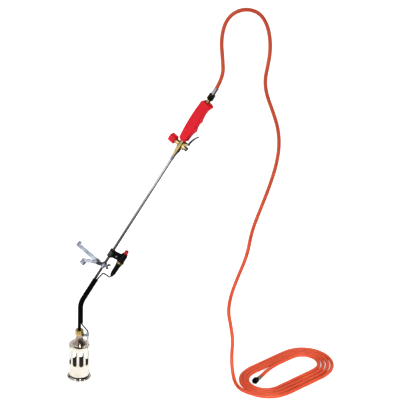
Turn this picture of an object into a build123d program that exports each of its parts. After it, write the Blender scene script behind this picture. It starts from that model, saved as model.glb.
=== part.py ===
from build123d import *
import math
import os

# Propane torch: burner bell on a bent wand, piezo igniter, folding stand, trigger valve, grip and hose.

os.makedirs("parts", exist_ok=True)

# ---------------------------------------------------------------- sizes, in millimetres and degrees
# The burner stands on its mouth. Heights are above the mouth, stations run up the leaning wand.
wand_lean = 28.0            # lean of the wand from vertical
neck_height = 257.7         # where the neck's axis meets the wand's axis
neck_bend_radius = 70.0
running_clearance = 0.08    # radial, pins, shafts and plungers in their own bores
seat_clearance = 0.05       # radial, pieces that are pushed or screwed together
gap = 0.3                   # between faces of pieces that move past each other

# burner
bell_radius = 30.0
bell_wall = 1.0
bell_height = 114.0
flare_height = 13.0
bead_height = 6.2
bead_rounding = 0.6
rim_radius = 35.8
rim_width = 1.8
slot_count = 9
slot_width = 13.4
slot_bottom = 50.0
slot_top_margin = 12.0      # below the wall's top
slot_phase = -73.7
cap_wall = 1.1
cap_skirt = 8.0
cap_cone_radius = 20.0       # where it meets the flat of the cap
cap_cone_hollow = 0.7
cap_neck_radius = 10.5
cap_neck_bottom = 139.0
cap_neck_top = 145.0
rivet_radius = 1.5
rivet_count = 3
rivet_set_back = 0.15        # clears the bell's round inside
bracket_thickness = 1.5
holder_flats = 22.5
holder_hex_height = 18.5
holder_spigot_length = 15.0
tube_socket_depth = 15.0
jet_bore_radius = 0.45
jet_thread_radius = 4.5
jet_length = 24.0
electrode_offset = 25.0
electrode_radius = 1.0
insulator_radius = 3.2
insulator_bottom = 108.0
insulator_top = 151.0
terminal_rise = 4.0
boot_wall = 1.2
boot_nose = 2.0
electrode_tip_height = 90.0
electrode_tip_offset = 12.0

# wand, its sleeve and the ignition wire
tube_radius = 4.0
tube_wall = 1.0
tube_end_station = 583.0
sleeve_wall = 1.0
sleeve_start_height = 166.0
sleeve_split_height = 188.0
sleeve_end_station = 95.0
wire_radius = 2.1
wire_offset = 7.5
wire_turn_station = 121.0
wire_turn_rise = 3.5
wire_bend_radius = 5.0
wire_sleeve_bend_radius = 20.0

# igniter and its clamp
clamp_station = 184.0
clamp_length = 22.5
clamp_flange = 3.5
clamp_collar_radius = 7.2
clamp_flange_radius = 8.6
clamp_web_thickness = 12.0
clamp_screw_offset = 17.4
clamp_screw_radius = 1.5
band_thickness = 0.8
piezo_offset = 37.0
piezo_ring_radius = 10.0
piezo_radius = 7.5
piezo_start_station = 177.5
piezo_length = 36.0
piezo_flange = 4.0
piezo_nut_length = 5.0
piezo_nut_radius = 11.4
button_radius = 5.9
button_travel = 6.0
button_neck = 7.0             # left standing out when pressed
button_crown = 3.0
crystal_radius = 3.0
crystal_length = 8.0
terminal_radius = 4.4
terminal_length = 7.0
boot_radius = 7.9
boot_tip_radius = 4.6
boot_length = 46.0

# stand
stand_station = 149.0
stand_clamp_length = 16.0
stand_clamp_radius = 6.8
stand_pivot_offset = 16.0
stand_pivot_rise = 2.0
knuckle_radius = 5.4
knuckle_width = 10.0
stand_pin_radius = 2.5
stand_bar_width = 12.0
stand_bar_thickness = 2.0
stand_reach = 68.0
stand_half_spread = 37.0
stand_turn = 12.0              # about the wand, as it is clamped
stand_lift = 8.0              # the legs' angle above square to the wand
stand_foot_radius = 8.0
wing_screw_radius = 2.5
wing_span = 18.0
wing_height = 10.5

# valve, measured from the crossing of the wand's axis and the knob's axis
valve_station = 606.0
grip_roll = 33.0            # the valve and grip are turned about the wand
body_radius = 9.0
body_length = 18.0
spigot_radius = 6.0
spigot_length = 11.0
socket_boss_radius = 8.0
socket_boss_length = 7.5
gas_bore_radius = 2.0
knob_boss_radius = 7.0
knob_boss_reach = 14.0
bonnet_flats = 13.0
bonnet_height = 5.0
spindle_radius = 2.5
needle_radius = 3.0
needle_seat = 3.2
needle_travel = 1.5
seat_orifice_radius = 1.0
journal_radius = 1.4
journal_length = 0.8
seal_seat = 9.0
seal_bore_radius = 3.7
knob_radius = 13.6
knob_length = 20.5
knob_flutes = 8
spindle_in_knob = 9.0
knob_screw_radius = 1.2
pilot_boss_radius = 5.6
pilot_boss_reach = 17.5
pilot_thread_radius = 2.6
pilot_thread_length = 4.0
pilot_drill_radius = 1.0
pilot_cap_radius = 6.3
pilot_cap_length = 7.2
trigger_offset = 10.5
trigger_boss_radius = 4.4
trigger_pin_radius = 2.0
trigger_travel = 2.1
trigger_bore_depth = 15.0
trigger_pin_length = 10.0
lever_pivot_offset = 19.5
lever_pivot_rise = 14.0
lever_hub_radius = 3.2
lever_pin_radius = 1.5
lever_width = 12.5
lever_root_width = 6.8
lever_thickness = 3.2
lever_tip_offset = 33.0
lever_tip_rise = 54.0
cheek_thickness = 2.4
nut_flats = 15.0
nut_length = 14.0
nut_taper_length = 14.0
collet_radius = 5.0
collet_length = 18.0

# grip
grip_start = 17.3           # above the knob's axis, along the wand
grip_length = 135.7
grip_half_width = 14.5
grip_half_depth = 21.5
grip_wall = 2.8
handle_tube_radius = 5.0
handle_tube_wall = 1.5
grip_screw_offset = -11.0
grip_screw_rises = (34.0, 84.0, 133.0)
grip_screw_radius = 1.3
grip_station = 691.0        # the middle of the hand, where the part's origin is

# hose and its ends
hose_radius = 5.5
hose_nut_flats = 17.0
hose_nut_length = 18.0
lip_thickness = 3.0
hose_thread_radius = 6.55
nipple_cone_radius = 5.2
nose_radius = 1.5
thread_engagement = 10.5
nipple_depth = 7.0          # inside the grip's end
nipple_flange_proud = 3.5
hose_nut_stand_off = 8.0    # from the nipple's flange
nipple_flange_radius = 7.2
tail_bulb_radius = 5.8
tail_neck_radius = 4.4
barb_radius = 3.4
barb_length = 16.0
tail_bore_radius = 2.0
ferrule_radius = 6.2
ferrule_length = 19.0
end_nut_length = 14.0
end_thread_length = 5.5
relief_depth = 0.5
end_neck_length = 7.0
nut_neck_length = 3.5
coil_centre = (301.0, 58.0)     # from the origin, on the floor
coil_drift = (-0.9, 1.5)        # of each turn from the last one, along and across the coil
coil_stretch = 0.6              # by which each turn's straights are longer at each end than the last one's
coil_turned = 42.0
coil_half_straight = 77.0
coil_end_radius = 92.0
coil_end_share = 0.6            # of each turn, taken by its two half circles
coil_pitch = 12.6
coil_turns = 3.69
coil_start_angle = 187.0
coil_outline_step = 15

# ---------------------------------------------------------------- places worked out from the sizes
lean = math.radians(wand_lean)
grip_x = grip_station * math.sin(lean)
grip_z = neck_height + grip_station * math.cos(lean)
floor_z = -grip_z
slot_top = bell_height - slot_top_margin
grip_end = grip_start + grip_length
hose_nut_station = valve_station + grip_end + nipple_flange_proud + hose_nut_stand_off

up_wand = Vector(math.sin(lean), 0, math.cos(lean))
off_wand = Vector(math.cos(lean), 0, -math.sin(lean))
wand_foot = Vector(0, 0, neck_height)
WAND = Plane(origin=wand_foot, x_dir=off_wand, z_dir=up_wand).location
STAND = WAND * Rot(0, 0, stand_turn)
VALVE = WAND * Pos(0, 0, valve_station) * Rot(0, 0, -grip_roll)
HERE = Pos(grip_x, 0, grip_z)       # for pieces drawn in the part's own frame
ALONG_X = Rot(0, 90, 0)     # turns a piece drawn along Z onto X
ALONG_Y = Rot(-90, 0, 0)    # turns a piece drawn along Z onto Y
BASE = (Align.CENTER, Align.CENTER, Align.MIN)

written = []


def save(node, shape, place=Location()):
    """Moves a piece from its own frame to the part's frame and writes it."""
    placed = Pos(-grip_x, 0, -grip_z) * place * shape
    placed.label = node
    export_step(placed, f"parts/{node}.step")
    written.append(node)
    return placed


def rod(radius, low, high, x=0.0, y=0.0):
    return Pos(x, y, low) * Cylinder(radius, high - low, align=BASE)


def ring(outer, inner, low, high):
    return rod(outer, low, high) - rod(inner, low, high)


def turned(*outline):
    """Solid of revolution about Z from (radius, height) corners."""
    return revolve(Plane.XZ * make_face(Polyline(*outline, close=True)), Axis.Z)


def hexagon(flats, low, high, chamfer_height=1.2):
    corner = flats / math.sqrt(3)
    prism = Pos(0, 0, low) * extrude(RegularPolygon(flats / 2, 6, major_radius=False), high - low)
    blank = turned((0, low), (flats / 2, low), (corner, low + chamfer_height),
                   (corner, high - chamfer_height), (flats / 2, high), (0, high))
    return prism & blank


def box(x0, x1, y0, y1, z0, z1):
    return Pos((x0 + x1) / 2, (y0 + y1) / 2, (z0 + z1) / 2) * Box(x1 - x0, y1 - y0, z1 - z0)


def on_wand(offset, station, sideways=0.0):
    """A point beside the wand, in the burner's frame."""
    return wand_foot + up_wand * station + off_wand * offset + Vector(0, sideways, 0)


def coil_spring(radius, wire, low, high, turns):
    path = Helix(pitch=(high - low - 2 * wire) / turns, height=high - low - 2 * wire, radius=radius)
    start = Plane(origin=path @ 0, z_dir=path % 0)
    return Pos(0, 0, low + wire) * sweep(start * Circle(wire), path=path, is_frenet=True)


# ---------------------------------------------------------------- burner
def burner_bell():
    inner = bell_radius - bell_wall
    foot = rim_radius - bead_rounding
    edge = foot - rim_width
    neck, bead = (bell_radius + 1.45, 9.35), (bell_radius + 3.4, bead_height)
    neck_in, bead_in = (inner + 1.75, 8.8), (inner + 4.2, bead_height - 1)
    outline = [
        Line((inner, bell_height), (bell_radius, bell_height)),
        Line((bell_radius, bell_height), (bell_radius, flare_height)),
        ThreePointArc((bell_radius, flare_height), neck, bead),
        ThreePointArc(bead, (rim_radius - 0.3, bead_height * 0.75), (rim_radius, bead_height * 0.4)),
        Line((rim_radius, bead_height * 0.4), (foot, 0)),
        Line((foot, 0), (edge, 0)),
        Line((edge, 0), bead_in),
        ThreePointArc(bead_in, neck_in, (inner, flare_height)),
        Line((inner, flare_height), (inner, bell_height)),
    ]
    shell = revolve(Plane.XZ * make_face(outline), Axis.Z)
    middle = (slot_bottom + slot_top) / 2
    slot = Pos(0, 0, middle) * ALONG_X * extrude(SlotOverall(slot_top - slot_bottom, slot_width),
                                                  rim_radius)
    for i in range(slot_count):
        shell -= Rot(0, 0, slot_phase + 360 / slot_count * i) * slot
    for turn in rivet_turns():
        shell -= Rot(0, 0, turn) * ALONG_X * rod(rivet_radius, bell_radius / 2, rim_radius,
                                                x=-rivet_height())
    return shell


def rivet_turns():
    return [90 + 360 / rivet_count * i for i in range(rivet_count)]


def rivet_height():
    return bell_height - cap_skirt / 2


def cap_outline(shift):
    """Outer face of the cap for shift 0, inner face for shift cap_wall."""
    skirt = bell_radius + seat_clearance + cap_wall - shift
    top = bell_height + seat_clearance + cap_wall - shift
    cone = cap_cone_radius - shift
    neck = cap_neck_radius - shift
    return skirt, top, cone, neck


def cap_cone(top, cone, neck):
    """Slightly hollow cone from the neck down to the flat."""
    middle = ((neck + cone) / 2 - cap_cone_hollow, (cap_neck_bottom + top) / 2 - cap_cone_hollow / 2)
    return ThreePointArc((neck, cap_neck_bottom), middle, (cone, top))


def bell_cap():
    low = bell_height - cap_skirt
    skirt, top, cone, neck = cap_outline(0)
    skirt_in, top_in, cone_in, neck_in = cap_outline(cap_wall)
    outline = [
        Polyline((skirt_in, low), (skirt, low), (skirt, top - 1), (skirt - 1, top), (cone, top)),
        cap_cone(top, cone, neck),
        Polyline((neck, cap_neck_bottom), (neck, cap_neck_top), (neck_in, cap_neck_top),
                 (neck_in, cap_neck_bottom)),
        cap_cone(top_in, cone_in, neck_in),
        Polyline((cone_in, top_in), (skirt_in, top_in), (skirt_in, low)),
    ]
    cap = revolve(Plane.XZ * make_face(outline), Axis.Z)
    hole = insulator_radius + seat_clearance
    cap += rod(hole + cap_wall, top_in, insulator_shoulder(), x=electrode_offset)
    cap -= rod(hole, low, cap_neck_top, x=electrode_offset)
    for turn in rivet_turns():
        cap -= Rot(0, 0, turn) * ALONG_X * rod(rivet_radius, bell_radius / 2, rim_radius,
                                              x=-rivet_height())
    return cap


def cap_rivets():
    face = bell_radius + seat_clearance + cap_wall
    inner = bell_radius - bell_wall - rivet_set_back
    rivet = turned((0, inner - 1), (rivet_radius + 0.9, inner - 1), (rivet_radius + 0.9, inner),
                   (rivet_radius, inner), (rivet_radius, face), (rivet_radius + 1, face),
                   (rivet_radius + 0.4, face + 0.9), (0, face + 1.1))
    rivets = [Rot(0, 0, turn) * Pos(0, 0, rivet_height()) * ALONG_X * rivet for turn in rivet_turns()]
    return Compound(children=rivets)


def holder_top():
    return cap_neck_top + bracket_thickness + holder_hex_height


def jet_holder():
    """Brass hexagon that screws into the cap's neck, with the wand's socket on top and the jet below."""
    base = cap_neck_top + bracket_thickness
    spigot = cap_neck_radius - cap_wall - seat_clearance
    holder = hexagon(holder_flats, base, holder_top()) + rod(spigot, base - holder_spigot_length, base)
    holder -= rod(gas_bore_radius, base - holder_spigot_length, holder_top())
    holder -= rod(jet_thread_radius + seat_clearance, base - holder_spigot_length, base - 4)
    holder -= rod(tube_radius + seat_clearance, holder_top() - tube_socket_depth, holder_top())
    return holder


def gas_jet():
    """Threaded jet with a spanner collar and a nose with the metering bore."""
    top = cap_neck_top + bracket_thickness - 5
    collar = cap_neck_top + bracket_thickness - holder_spigot_length
    tip = top - jet_length
    jet = turned((0, tip), (1.6, tip), (3.4, collar - 5), (3.4, collar), (jet_thread_radius, collar),
                 (jet_thread_radius, top), (0, top)) + hexagon(11, collar - 4, collar, 0.5)
    jet -= rod(gas_bore_radius, tip + 3, top)
    return jet - rod(jet_bore_radius, tip, tip + 3)


def electrode_bracket():
    """Plate clamped between the holder's hexagon and the cap's neck, with an eye for the insulator."""
    eye = insulator_radius + 2.4
    plate = make_hull((Circle(cap_neck_radius + 1).edges()
                       + (Pos(electrode_offset, 0) * Circle(eye)).edges()))
    plate = Pos(0, 0, cap_neck_top) * extrude(plate, bracket_thickness)
    plate -= rod(cap_neck_radius - cap_wall, cap_neck_top, cap_neck_top + bracket_thickness)
    return plate - rod(insulator_radius + seat_clearance, cap_neck_top, cap_neck_top + bracket_thickness,
                       x=electrode_offset)


def insulator_shoulder():
    """Height of the short collar that is drawn up from the cap round the insulator."""
    return bell_height + seat_clearance + cap_wall + 2.5


def electrode_insulator():
    """Ceramic tube with a shoulder that rests on the cap's drawn collar."""
    shoulder = insulator_shoulder()
    r = insulator_radius
    tube = turned((electrode_radius + seat_clearance, insulator_bottom), (r, insulator_bottom),
                  (r, shoulder), (r + 1.3, shoulder), (r + 1.3, shoulder + 5), (r, shoulder + 6.5),
                  (r, insulator_top - 1), (r - 1, insulator_top),
                  (electrode_radius + seat_clearance, insulator_top))
    return Pos(electrode_offset, 0) * tube


def spark_electrode():
    """Steel rod that leaves the insulator inside the bell and bends in towards the jet."""
    knee = electrode_tip_height + 8
    path = FilletPolyline((electrode_offset, 0, insulator_top + terminal_rise), (electrode_offset, 0, knee),
                          (electrode_tip_offset, 0, electrode_tip_height), radius=4)
    start = Plane(origin=path @ 0, z_dir=path % 0)
    return sweep(start * Circle(electrode_radius), path=path)


def electrode_boot():
    """Rubber cap over the electrode's terminal, where the wire goes in."""
    bottom = insulator_top - terminal_rise
    terminal = insulator_top + terminal_rise
    r = insulator_radius + seat_clearance
    wire = wire_radius + seat_clearance
    return Pos(electrode_offset, 0) * turned(
        (r, bottom), (r + boot_wall, bottom), (r + boot_wall, terminal - 1),
        (wire + 1, terminal + boot_nose), (wire, terminal + boot_nose), (wire, terminal), (r, terminal))


# ---------------------------------------------------------------- wand, sleeve and wire
def bent_path(low, high_station, offset=0.0):
    """Line of the neck and wand, or one beside it on the inside of the bend."""
    corner = Vector(offset, 0, neck_height - offset * math.tan(lean / 2))
    return FilletPolyline(Vector(offset, 0, low), corner, on_wand(offset, high_station),
                          radius=neck_bend_radius - offset)


def wand_tube():
    path = bent_path(holder_top() - tube_socket_depth, tube_end_station)
    start = Plane(origin=path @ 0, z_dir=path % 0)
    return sweep(start * (Circle(tube_radius) - Circle(tube_radius - tube_wall)), path=path)


def heat_sleeve():
    """Glass-fibre sleeve that holds the wire against the tube; below the split only the tube is wrapped."""
    tube_hole = tube_radius + seat_clearance
    wire_hole = wire_radius + seat_clearance
    around_tube = tube_hole + sleeve_wall
    around_wire = wire_hole + sleeve_wall
    wrap = make_hull(Circle(around_tube).edges() + (Pos(wire_offset, 0) * Circle(around_wire)).edges())
    section = wrap - Circle(tube_hole) - Pos(wire_offset, 0) * Circle(wire_hole)
    path = bent_path(sleeve_split_height, sleeve_end_station)
    start = Plane(origin=path @ 0, x_dir=(1, 0, 0), z_dir=path % 0)
    return sweep(start * section, path=path) + ring(around_tube, tube_hole, sleeve_start_height,
                                                    sleeve_split_height)


def ignition_wire():
    """High-tension wire from the igniter's boot, down inside the sleeve, to the spark electrode."""
    corner = Vector(wire_offset, 0, neck_height - wire_offset * math.tan(lean / 2))
    terminal = insulator_top + terminal_rise
    bend = wire_bend_radius
    low_bend = min(bend, (sleeve_split_height - terminal) / 5)
    points = [
        on_wand(piezo_offset, piezo_start_station - terminal_length - 2),
        on_wand(piezo_offset, wire_turn_station),
        on_wand(wire_offset + 4, wire_turn_station + wire_turn_rise),
        on_wand(wire_offset, sleeve_end_station + wire_bend_radius),
        corner,
        Vector(wire_offset, 0, sleeve_split_height - low_bend),
        Vector(electrode_offset, 0, terminal + boot_nose + 0.7 * low_bend),
        Vector(electrode_offset, 0, terminal),
    ]
    radii = [bend, bend, wire_sleeve_bend_radius, neck_bend_radius - wire_offset, low_bend, low_bend]
    path = FilletPolyline(*points, radius=radii)
    start = Plane(origin=path @ 0, z_dir=path % 0)
    return sweep(start * Circle(wire_radius), path=path)


# ---------------------------------------------------------------- igniter, drawn about the wand
def igniter_clamp_blank():
    top = clamp_station + clamp_length
    collar = rod(clamp_collar_radius, clamp_station, top)
    collar += rod(clamp_flange_radius, clamp_station, clamp_station + clamp_flange)
    collar += rod(clamp_flange_radius, top - clamp_flange, top)
    half = clamp_web_thickness / 2
    web = box(0, piezo_offset, -half, half, clamp_station + 2, top - 2)
    barrel = rod(piezo_ring_radius, clamp_station, top, x=piezo_offset)
    for i in range(18):
        barrel -= Pos(piezo_offset, 0) * Rot(0, 0, 20 * i) * rod(0.7, clamp_station, top - 3,
                                                                x=piezo_ring_radius)
    blank = collar + web + barrel
    blank -= rod(tube_radius + seat_clearance, clamp_station, top)
    blank -= rod(piezo_radius + seat_clearance, clamp_station, top, x=piezo_offset)
    return blank - clamp_screw_place() * rod(clamp_screw_radius + seat_clearance, -20, 20)


def clamp_screw_place():
    return Pos(clamp_screw_offset, 0, clamp_station + clamp_length / 2) * ALONG_Y


def igniter_clamp_half(side):
    """One moulded half; side is -1 in front and +1 behind."""
    far = clamp_web_thickness * 2
    low, high = sorted((side * seat_clearance, side * far))
    return igniter_clamp_blank() & box(-far, piezo_offset + far, low, high, 0, tube_end_station)


def clamp_band():
    """Steel band round the collar between its flanges, open where the arm leaves."""
    low = clamp_station + clamp_flange + gap
    high = clamp_station + clamp_length - clamp_flange - gap
    inner = clamp_collar_radius + seat_clearance
    band = ring(inner + band_thickness, inner, low, high)
    half = clamp_web_thickness / 2 + gap
    return band - box(0, 3 * inner, -half, half, low, high)


def clamp_screw():
    head = clamp_web_thickness / 2
    screw = turned((0, head + 1.6), (1.7, head + 1.6), (2.9, head + 0.5), (2.9, head),
                   (clamp_screw_radius, head), (clamp_screw_radius, -head - 3.2), (0, -head - 3.2))
    nut = hexagon(5.5, -head - 2.4, -head, 0.4) - rod(clamp_screw_radius, -20, 20)
    slot = box(-3, 3, -0.35, 0.35, head + 0.9, head + 2)
    return clamp_screw_place() * Rot(180, 0, 0) * (screw + nut - slot)


def piezo_top():
    return piezo_start_station + piezo_length


def piezo_body():
    """Housing with a deep bore for the button and a blind seat for the crystal."""
    bore = button_radius + running_clearance
    body = rod(piezo_radius, piezo_start_station, piezo_top())
    low = clamp_station + clamp_length + gap
    body += rod(piezo_ring_radius - 1, low, low + piezo_flange)
    body -= rod(bore, piezo_start_station + 14, piezo_top())
    return body - rod(crystal_radius + seat_clearance, piezo_start_station + 3, piezo_start_station + 14)


def piezo_crystal():
    low = piezo_start_station + 3
    return rod(crystal_radius, low, low + crystal_length)


def piezo_spring():
    low = piezo_start_station + 14
    return coil_spring(4.4, 0.45, low, button_bottom() - 0.1, 5)


def button_bottom():
    return piezo_top() - button_travel - 2.5


def piezo_button():
    r = button_radius
    top = piezo_top() + button_travel + button_neck
    crown_radius = (r ** 2 + button_crown ** 2) / (2 * button_crown)
    crown = Pos(0, 0, top - crown_radius) * Sphere(crown_radius)
    return rod(r, button_bottom(), top) & (crown + rod(r, button_bottom(), top - button_crown))


def piezo_nut():
    """Knurled ring that screws up the housing and draws its flange onto the clamp."""
    high = clamp_station - gap
    low = high - piezo_nut_length
    nut = ring(piezo_nut_radius, piezo_radius + seat_clearance, low, high)
    for i in range(24):
        nut -= Rot(0, 0, 15 * i) * rod(0.5, low, high, x=piezo_nut_radius + 0.1)
    return nut


def piezo_terminal():
    low = piezo_start_station - terminal_length
    return turned((0, low), (2, low), (2, low + 2), (terminal_radius, low + 2.6),
                  (terminal_radius, piezo_start_station), (0, piezo_start_station))


def igniter_boot():
    """Rubber boot from the terminal to the wire, with a lip at the top."""
    top = piezo_start_station - 3.5
    low = top - boot_length
    inner = terminal_radius + seat_clearance
    wire = wire_radius + seat_clearance
    lip = boot_radius + boot_wall
    return turned((inner, top), (lip, top), (lip, top - 3.5), (boot_radius, top - 4),
                  (boot_radius * 0.93, low + 12), (boot_tip_radius, low + 1), (boot_tip_radius - 0.8, low),
                  (wire, low), (wire, piezo_start_station - terminal_length - 1),
                  (inner, piezo_start_station - terminal_length - 1))


# ---------------------------------------------------------------- stand, drawn about the wand
def stand_pivot():
    return Pos(-stand_pivot_offset, 0, stand_station + stand_pivot_rise)


def stand_clamp():
    """Split ring on the tube, with a knuckle for the legs and a boss for the wing screw."""
    low = stand_station - stand_clamp_length / 2
    high = stand_station + stand_clamp_length / 2
    half = knuckle_width / 2
    body = rod(stand_clamp_radius, low, high)
    body += stand_pivot() * ALONG_Y * rod(knuckle_radius, -half, half)
    pivot_z = stand_station + stand_pivot_rise
    body += box(-stand_pivot_offset, 0, -2.5, 2.5, pivot_z - 4, pivot_z + 4)
    body += Pos(0, 0, stand_station) * ALONG_X * rod(4.6, 0, stand_clamp_radius + 1.6)
    body -= rod(tube_radius + running_clearance, low, high)
    body -= stand_pivot() * ALONG_Y * rod(stand_pin_radius + running_clearance, -half, half)
    return body - Pos(0, 0, stand_station) * ALONG_X * rod(wing_screw_radius + running_clearance, 0, 20)


def yoke_half_width():
    return knuckle_width / 2 + gap + stand_bar_thickness


def stand_pin():
    head = yoke_half_width() + seat_clearance
    pin = rod(stand_pin_radius, -head - 1.5, head + 1.5)
    for end in (1, -1):
        low, high = sorted((end * head, end * (head + 1.5)))
        pin += rod(stand_pin_radius + 1.4, low, high)
    return stand_pivot() * ALONG_Y * pin


def stand_legs():
    """Yoke on the pin, a web, and two spread bars whose ends are curled in to make feet."""
    t = stand_bar_thickness
    half = stand_bar_width / 2
    outer = yoke_half_width()
    web = -knuckle_radius - 6.0
    cheek_end = make_hull(Circle(knuckle_radius).edges() + (Pos(web, 0) * Rectangle(t, 2 * half)).edges())
    cheek_end = extrude(cheek_end, t) - rod(stand_pin_radius + running_clearance, 0, t)
    yoke = Rot(90, 0, 0) * Pos(0, 0, outer - t) * cheek_end
    yoke += Rot(90, 0, 0) * Pos(0, 0, -outer) * cheek_end
    yoke += box(web - t / 2, web + t / 2, -outer, outer, -half, half)
    for side in (1, -1):
        yoke += leg(side, web, outer - t / 2)
    return stand_pivot() * Rot(0, stand_lift, 0) * yoke


def leg(side, root, sideways):
    """A flat bar from the web out to the foot, drawn from above and given the bar's width."""
    tip = Vector(-stand_reach, side * stand_half_spread)
    start = Vector(root, side * sideways)
    along = (tip - start).normalized()
    inward = Vector(along.Y, -along.X) * side
    r = stand_foot_radius
    curl_middle = tip + inward * r + (along - inward).normalized() * r
    curl_end = tip + inward * r + along * r
    line = Line(start, tip) + ThreePointArc(tip, curl_middle, curl_end)
    line += ThreePointArc(curl_end, tip + inward * r + (along + inward).normalized() * r,
                          tip + inward * 2 * r)
    bar = Wire(line.edges())
    section = Plane(origin=start, x_dir=(0, 0, 1), z_dir=along) * Rectangle(stand_bar_width,
                                                                            stand_bar_thickness)
    return sweep(section, path=bar, transition=Transition.RIGHT)


def wing_screw():
    r = wing_screw_radius
    base = stand_clamp_radius + 1.6 + gap
    screw = turned((0, tube_radius + gap), (r, tube_radius + gap), (r, base), (r + 1.4, base),
                   (r + 0.8, base + 4), (0, base + 4))
    for side in (1, -1):
        inner, tip = side * r, side * wing_span / 2
        wing = make_face(Polyline((inner, base + 0.6), (tip, base + 3), (tip, base + wing_height),
                                  (tip - side * 2.4, base + wing_height + 1), (0, base + 3.6),
                                  (0, base + 0.6), close=True))
        screw += extrude(Plane.XZ * wing, 1, both=True)
    return Pos(0, 0, stand_station) * ALONG_X * screw


# ---------------------------------------------------------------- valve, drawn about its own crossing
def valve_body():
    half = body_length / 2
    body = rod(body_radius, -half, half)
    body += rod(spigot_radius, -half - spigot_length, -half)
    body += rod(socket_boss_radius, half, half + socket_boss_length)
    body += ALONG_X * rod(knob_boss_radius, -knob_boss_reach, 0)
    body += ALONG_X * rod(pilot_boss_radius, 0, pilot_boss_reach)
    body += rod(trigger_boss_radius, -half, half, x=trigger_offset)
    cheek = make_hull((Pos(trigger_offset - 1.5, half - 2) * Circle(3.4)).edges()
                      + (Pos(lever_pivot_offset, lever_pivot_rise) * Circle(lever_hub_radius)).edges())
    cheek = Plane.XZ * cheek
    inner = lever_root_width / 2 + gap
    for y in (-inner, inner + cheek_thickness):
        body += Pos(0, y, 0) * extrude(cheek, cheek_thickness)
    body -= Pos(lever_pivot_offset, 0, lever_pivot_rise) * ALONG_Y * rod(lever_pin_radius, -20, 20)
    body -= rod(gas_bore_radius, -half - spigot_length, half)
    body -= rod(handle_tube_radius + seat_clearance, half - 0.5, half + socket_boss_length)
    body -= ALONG_X * rod(needle_radius + running_clearance, -knob_boss_reach, -needle_seat)
    body -= ALONG_X * rod(seal_bore_radius, -knob_boss_reach, -seal_seat)
    body -= ALONG_X * rod(seat_orifice_radius, -needle_seat, 0)
    body -= ALONG_X * rod(pilot_thread_radius + seat_clearance, pilot_bore_end(), pilot_boss_reach)
    body -= ALONG_X * rod(pilot_drill_radius, 0, pilot_bore_end())
    body -= rod(trigger_pin_radius + running_clearance, trigger_bore_bottom(), half, x=trigger_offset)
    return body


def pilot_bore_end():
    return pilot_boss_reach - pilot_thread_length


def bonnet_top():
    return knob_boss_reach + bonnet_height


def bonnet():
    """Packing nut over the spindle, drawn outwards along the knob's axis."""
    nut = hexagon(bonnet_flats, knob_boss_reach, bonnet_top(), 0.8)
    nut += rod(seal_bore_radius - seat_clearance, seal_seat + 1.3, knob_boss_reach)
    return mirrored(nut - rod(spindle_radius + running_clearance, 0, 40))


def mirrored(shape):
    """Puts a piece drawn along +Z onto the knob's side, which is -X."""
    return Rot(0, -90, 0) * shape


def stem_seal():
    tube = (seal_bore_radius - spindle_radius) / 2 - 0.04
    middle = (seal_bore_radius + spindle_radius) / 2
    return mirrored(Pos(0, 0, seal_seat + 0.65) * Torus(middle, tube))


def needle_top():
    return seal_seat - needle_travel - gap


def valve_spindle():
    """Turns with the knob; its thread draws the needle off the seat."""
    spindle = rod(spindle_radius, seal_seat, knob_face() + spindle_in_knob)
    spindle += rod(journal_radius, needle_top() - journal_length, seal_seat)
    spindle -= rod(knob_screw_radius + seat_clearance, knob_face() + 2, knob_face() + spindle_in_knob)
    return mirrored(spindle)


def valve_needle():
    """Cone-ended plunger that slides without turning, with a hole for the spindle's journal."""
    top = needle_top()
    tip = seat_orifice_radius - running_clearance
    needle = turned((0, needle_seat - 2.2), (tip, needle_seat), (needle_radius, needle_seat + gap),
                    (needle_radius, top), (0, top))
    depth = needle_travel + journal_length + gap
    return mirrored(needle - rod(journal_radius + running_clearance, top - depth, top))


def knob_face():
    return bonnet_top() + gap + 0.2


def control_knob():
    low = knob_face()
    high = low + knob_length
    knob = turned((0, low), (knob_radius - 2.5, low), (knob_radius - 0.6, low + 1.2), (knob_radius, low + 3),
                  (knob_radius, high - 3), (knob_radius - 1, high - 1), (knob_radius - 3, high), (0, high))
    for i in range(knob_flutes):
        knob -= Rot(0, 0, 360 / knob_flutes * (i + 0.5)) * rod(3.4, low, high, x=knob_radius + 1.9)
    knob -= rod(spindle_radius, low, low + spindle_in_knob)
    knob -= rod(knob_screw_radius + gap, low, high)
    return mirrored(knob - rod(3.2, high - 3, high))


def knob_screw():
    seat = knob_face() + knob_length - 3
    screw = rod(2.9, seat, seat + 1.8) + rod(knob_screw_radius, knob_face() + 3, seat)
    return mirrored(screw - box(-3, 3, -0.4, 0.4, seat + 1, seat + 2))


def pilot_screw():
    """Steel screw that sets the pilot flame, with a slotted head."""
    base = pilot_boss_reach + seat_clearance
    tip = pilot_bore_end() + 0.4
    screw = turned((0, tip), (pilot_thread_radius, tip),
                   (pilot_thread_radius, base), (pilot_cap_radius, base),
                   (pilot_cap_radius, base + pilot_cap_length - 1.2),
                   (pilot_cap_radius - 1.2, base + pilot_cap_length), (0, base + pilot_cap_length))
    top = base + pilot_cap_length
    return ALONG_X * (screw - box(-8, 8, -0.6, 0.6, top - 1.6, top + 1))


def trigger_bore_bottom():
    return body_length / 2 - trigger_bore_depth


def pin_top():
    return body_length / 2 + trigger_travel + 1.3


def trigger_pin():
    """Plunger with a rounded tip that the lever's nose pushes in."""
    r = trigger_pin_radius
    low, high = pin_top() - trigger_pin_length, pin_top()
    return Pos(trigger_offset, 0) * turned((0, low), (r, low), (r, high - 0.6), (r / 2, high), (0, high))


def trigger_spring():
    low = trigger_bore_bottom() + seat_clearance
    high = pin_top() - trigger_pin_length - seat_clearance
    return Pos(trigger_offset, 0) * coil_spring(1.35, 0.28, low, high, 6)


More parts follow.
